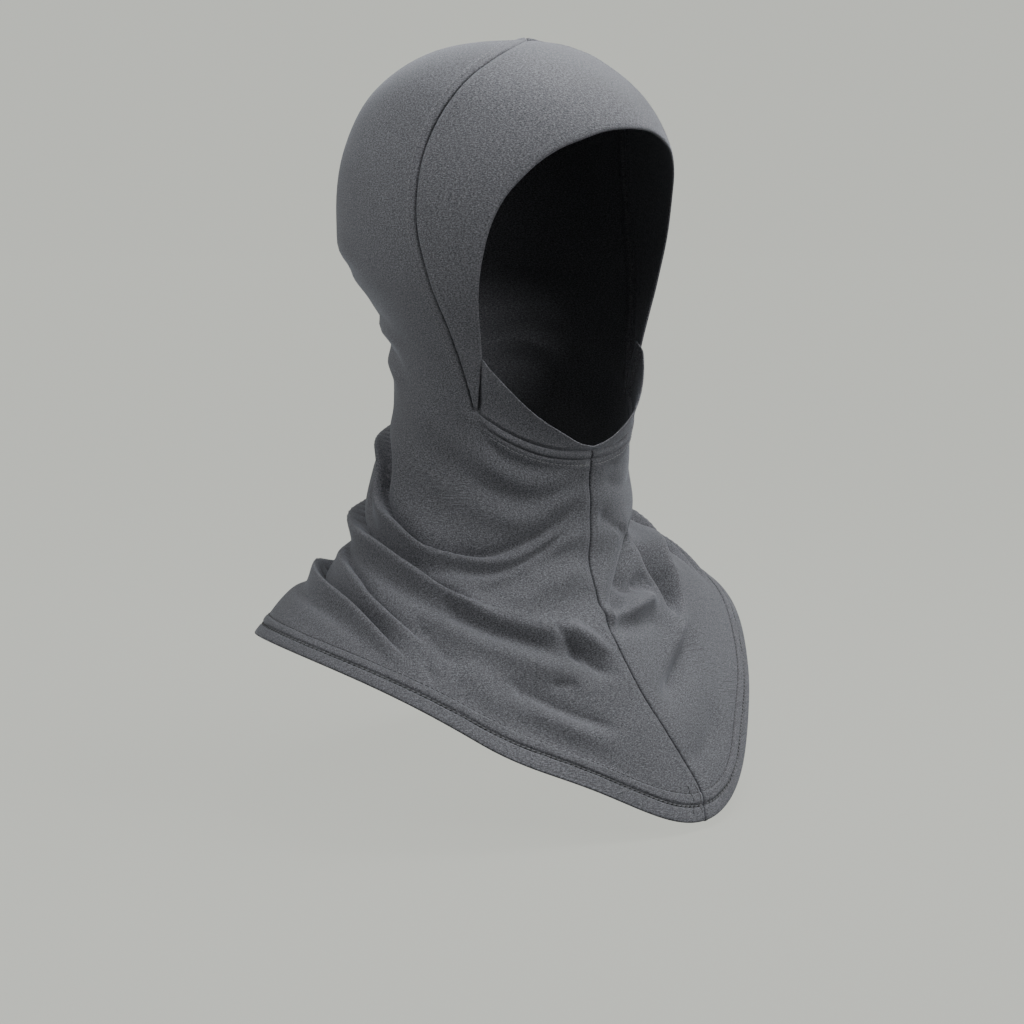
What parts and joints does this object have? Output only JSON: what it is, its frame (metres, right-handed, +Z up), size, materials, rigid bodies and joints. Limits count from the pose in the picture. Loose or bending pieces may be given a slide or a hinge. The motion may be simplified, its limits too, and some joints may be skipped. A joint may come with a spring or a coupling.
{
  "type": "full-cover hijab underscarf cap",
  "caption": "Close jersey underscarf hood with an oval face opening, a gathered neck and a pointed bib hemmed all round.",
  "frame": {"origin": "inside top of the crown, where the cap rests on the wearer's head", "axes": "+Z up, -Y the way the face looks, +X the wearer's left"},
  "size_m": [0.3234, 0.265, 0.4142],
  "materials": {
    "band_jersey": "heather charcoal cotton jersey, double layer, matt",
    "panel_jersey": "heather charcoal cotton jersey, single layer, matt",
    "thread": "polyester sewing thread, faint sheen"
  },
  "bodies": {
    "root": {"brow_band": "band_jersey", "side_panel_left": "panel_jersey", "side_panel_right": "panel_jersey", "chin_panel": "panel_jersey"}
  },
  "joints": []
}
